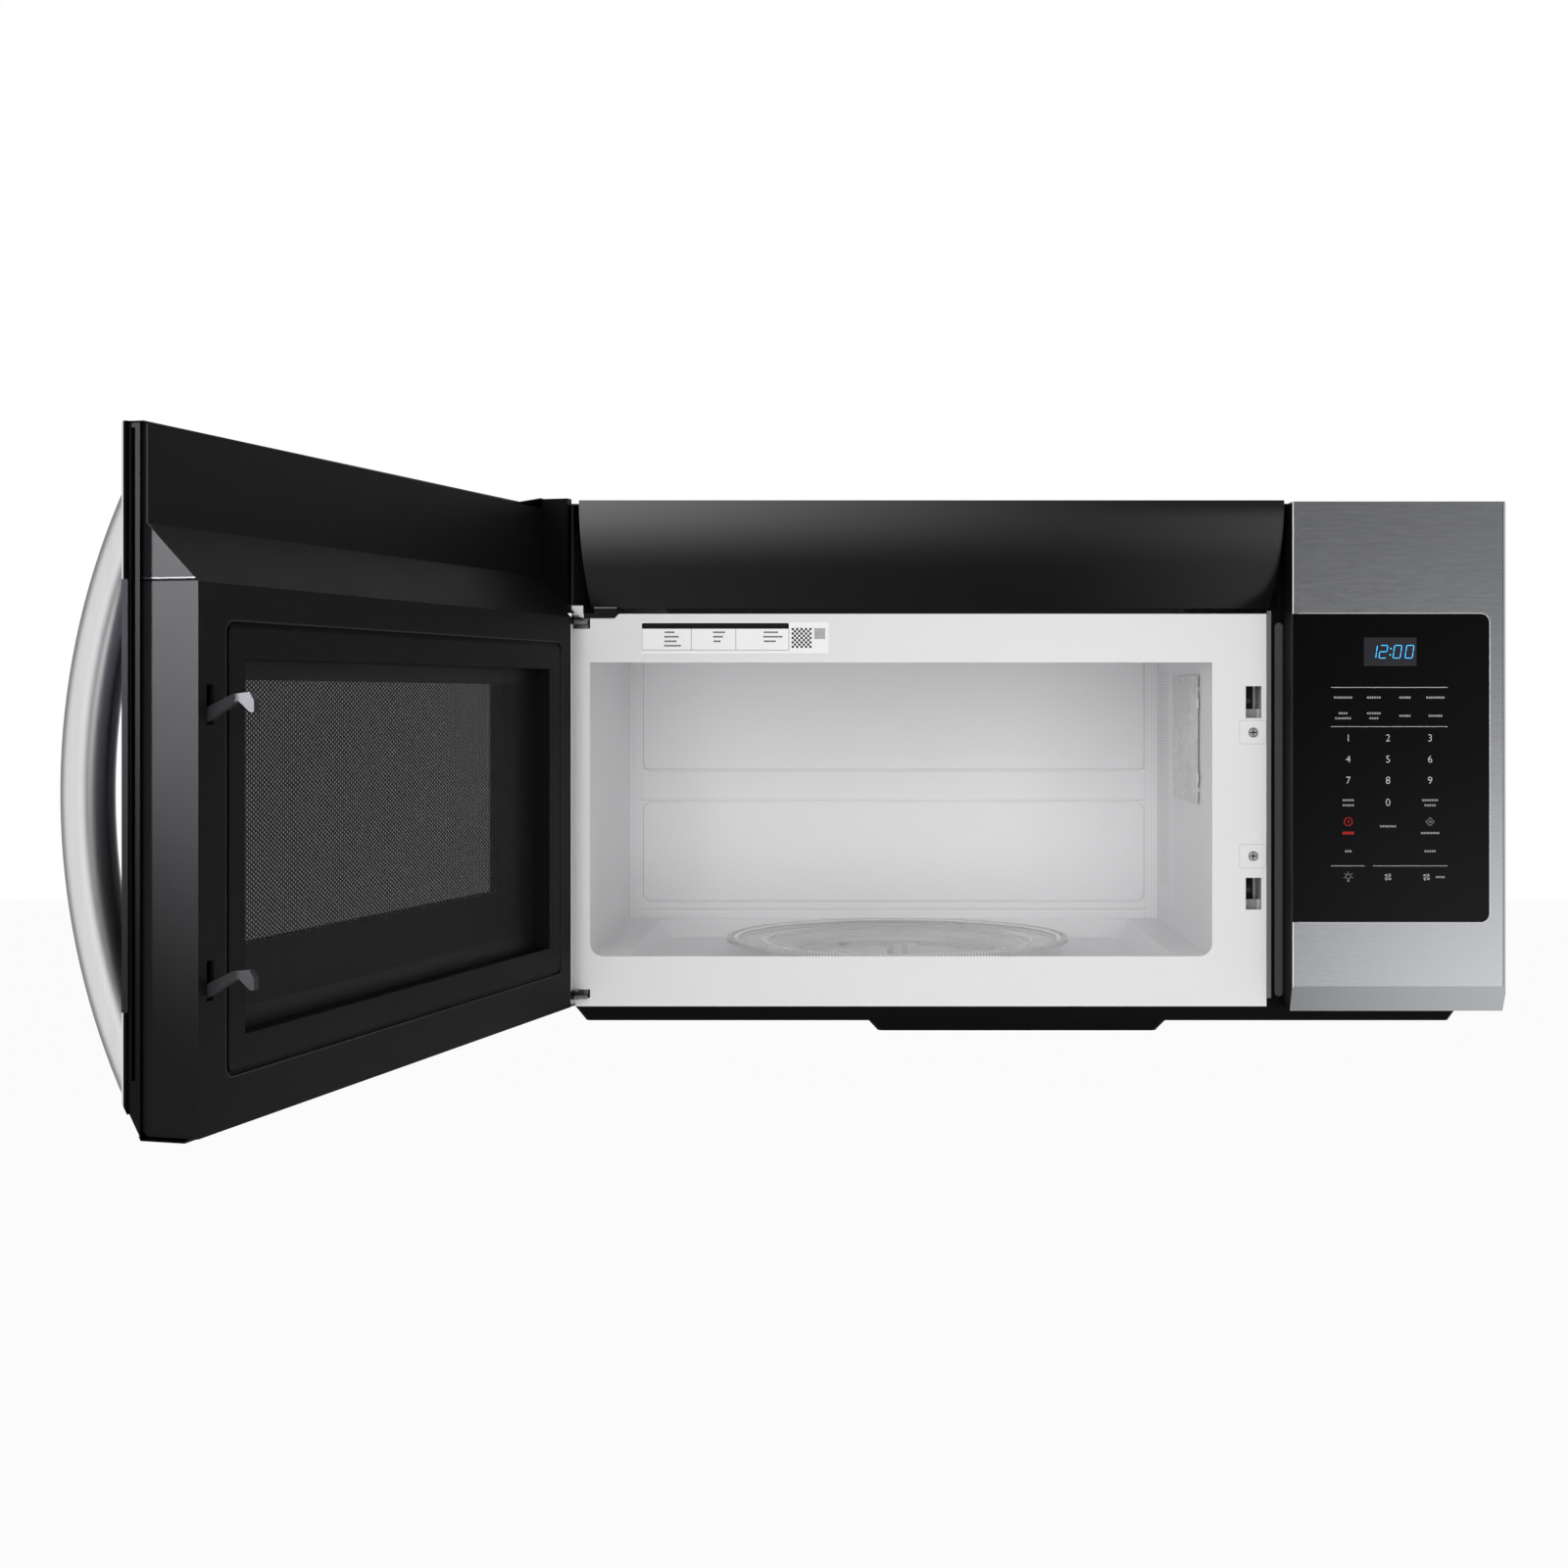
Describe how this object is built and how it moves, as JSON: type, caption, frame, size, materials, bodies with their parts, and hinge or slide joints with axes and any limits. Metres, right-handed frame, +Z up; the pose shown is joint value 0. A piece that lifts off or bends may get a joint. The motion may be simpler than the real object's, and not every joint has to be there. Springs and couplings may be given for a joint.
{
  "type": "over the range microwave",
  "caption": "Over the range microwave oven with a hinged door on the left, arched handle, touch control panel, turntable, vent grille and exhaust collar.",
  "frame": {"origin": "on the wall plane, the back face of the wall plate, behind the middle of the door and control panel", "axes": "+X to the user's right, +Y into the wall, +Z up; the door faces -Y and is stored open"},
  "size_m": [0.9924, 0.9174, 0.457],
  "materials": {
    "white_enamel": "smooth white enamel",
    "stainless": "brushed stainless steel",
    "black_paint": "black powder coat",
    "zinc": "zinc plated sheet steel",
    "black_glass": "black backed glass",
    "door_glass": "tinted glass with a black printed edge",
    "gloss_black": "polished black plastic",
    "matt_black": "matt black plastic",
    "charcoal": "fine textured charcoal plastic",
    "hook_grey": "dark grey plastic",
    "satin_aluminium": "satin",
    "mesh_aluminium": "expanded aluminium mesh",
    "mica": "pressed mica sheet",
    "clear_glass": "clear glass",
    "white_plastic": "white nylon",
    "motor_steel": "plain steel",
    "spring_steel": "spring wire",
    "board_green": "circuit board",
    "carbon_black": "activated carbon pad",
    "lamp_glass": "lamp glass"
  },
  "bodies": {
    "cabinet": {"wall_plate": "zinc", "back_panel": "zinc", "outer_case": "black_paint", "base_pan": "black_paint", "lamp_housing": "matt_black", "cooktop_lamps": "lamp_glass", "front_frame": "white_enamel", "frame_screws": "zinc", "cavity_liner": "white_enamel", "cavity_lamp": "lamp_glass", "waveguide_cover": "mica", "waveguide": "zinc", "magnetron": "mesh_aluminium", "hv_transformer": "motor_steel", "hv_capacitor": "mesh_aluminium", "noise_filter_board": "board_green", "turntable_motor": "motor_steel", "vent_grille": "gloss_black", "charcoal_filter": "carbon_black", "exhaust_adapter": "zinc", "blower_housing": "zinc", "blower_motor": "motor_steel", "fan_shroud": "white_plastic", "fan_motor": "motor_steel", "control_fascia": "stainless", "control_glass": "black_glass", "control_housing": "matt_black", "display_module": "matt_black", "control_board": "board_green", "latch_body": "white_plastic", "primary_switch": "hook_grey", "secondary_switch": "hook_grey", "hinge_upper": "zinc", "hinge_lower": "zinc", "cord_bushing": "matt_black"},
    "door": {"door_skin": "stainless", "door_glass": "door_glass", "door_outer_frame": "matt_black", "door_inner_frame": "black_paint", "window_screen": "black_paint", "choke_cover": "charcoal", "door_handle": "satin_aluminium", "handle_screws": "zinc", "hinge_bushes": "white_plastic"},
    "latch": {"latch_bar": "hook_grey", "latch_spring": "spring_steel"},
    "turntable_drive": {"drive_coupler": "white_plastic"},
    "tray": {"glass_tray": "clear_glass"},
    "ring": {"roller_ring": "white_plastic"},
    "wheel_1": {"roller_wheel_1": "white_plastic"},
    "wheel_2": {"roller_wheel_2": "white_plastic"},
    "wheel_3": {"roller_wheel_3": "white_plastic"},
    "vent_blower": {"blower_wheels": "zinc"},
    "cooling_fan": {"fan_blade": "white_plastic"},
    "filter_left": {"grease_filter_left": "mesh_aluminium"},
    "filter_right": {"grease_filter_right": "mesh_aluminium"},
    "lamp_door": {"lamp_cover": "clear_glass"},
    "damper": {"damper_flap": "zinc"},
    "upper_plunger": {"primary_plunger": "white_plastic"},
    "lower_plunger": {"secondary_plunger": "white_plastic"}
  },
  "joints": [
    {"name": "door_hinge", "type": "hinge", "parent": "cabinet", "child": "door", "pos_m": [-0.374, -0.361, 0], "axis": [0, 0, 1], "range_deg": [0, 105]},
    {"name": "latch_slide", "type": "slide", "parent": "door", "child": "latch", "axis": [0, 0, 1], "range_m": [0, 0.006], "stiffness_N_per_m": 150, "springref_m": -0.003, "deforming": ["latch_spring"]},
    {"name": "turntable_spin", "type": "hinge", "parent": "cabinet", "child": "turntable_drive", "pos_m": [-0.1056, -0.1894, -0.19], "axis": [0, 0, 1], "continuous": true},
    {"name": "tray_lift", "type": "slide", "parent": "turntable_drive", "child": "tray", "axis": [0, 0, 1], "range_m": [0, 0.06]},
    {"name": "ring_spin", "type": "hinge", "parent": "cabinet", "child": "ring", "pos_m": [-0.1056, -0.1894, -0.1785], "axis": [0, 0, 1], "continuous": true},
    {"name": "wheel_1_spin", "type": "hinge", "parent": "ring", "child": "wheel_1", "pos_m": [-0.0066, -0.1894, -0.1785], "axis": [1, 0, 0], "continuous": true},
    {"name": "wheel_2_spin", "type": "hinge", "parent": "ring", "child": "wheel_2", "pos_m": [-0.1551, -0.10366, -0.1785], "axis": [-0.5, 0.866, 0], "continuous": true},
    {"name": "wheel_3_spin", "type": "hinge", "parent": "ring", "child": "wheel_3", "pos_m": [-0.1551, -0.27514, -0.1785], "axis": [-0.5, -0.866, 0], "continuous": true},
    {"name": "blower_spin", "type": "hinge", "parent": "cabinet", "child": "vent_blower", "pos_m": [0, -0.07495, 0.1529], "axis": [1, 0, 0], "continuous": true},
    {"name": "cooling_fan_spin", "type": "hinge", "parent": "cabinet", "child": "cooling_fan", "pos_m": [0.262, -0.06, 0], "axis": [0, 1, 0], "continuous": true},
    {"name": "left_filter_slide", "type": "slide", "parent": "cabinet", "child": "filter_left", "axis": [0, 1, 0], "range_m": [0, 0.012]},
    {"name": "right_filter_slide", "type": "slide", "parent": "cabinet", "child": "filter_right", "axis": [0, 1, 0], "range_m": [0, 0.012]},
    {"name": "lamp_cover_hinge", "type": "hinge", "parent": "cabinet", "child": "lamp_door", "pos_m": [-0.009, -0.258, -0.2265], "axis": [1, 0, 0], "range_deg": [0, 75]},
    {"name": "damper_hinge", "type": "hinge", "parent": "cabinet", "child": "damper", "pos_m": [0, -0.0379, 0.213], "axis": [-1, 0, 0], "range_deg": [0, 80]},
    {"name": "primary_plunger_slide", "type": "slide", "parent": "cabinet", "child": "upper_plunger", "axis": [0, 1, 0], "range_m": [0, 0.0015], "stiffness_N_per_m": 200},
    {"name": "secondary_plunger_slide", "type": "slide", "parent": "cabinet", "child": "lower_plunger", "axis": [0, 1, 0], "range_m": [0, 0.0015], "stiffness_N_per_m": 200}
  ],
  "couplings": [
    {"joint": "ring_spin", "follows": "turntable_spin", "ratio": 0.5},
    {"joint": "wheel_1_spin", "follows": "turntable_spin", "ratio": -9.5192},
    {"joint": "wheel_2_spin", "follows": "turntable_spin", "ratio": -9.5192},
    {"joint": "wheel_3_spin", "follows": "turntable_spin", "ratio": -9.5192}
  ]
}
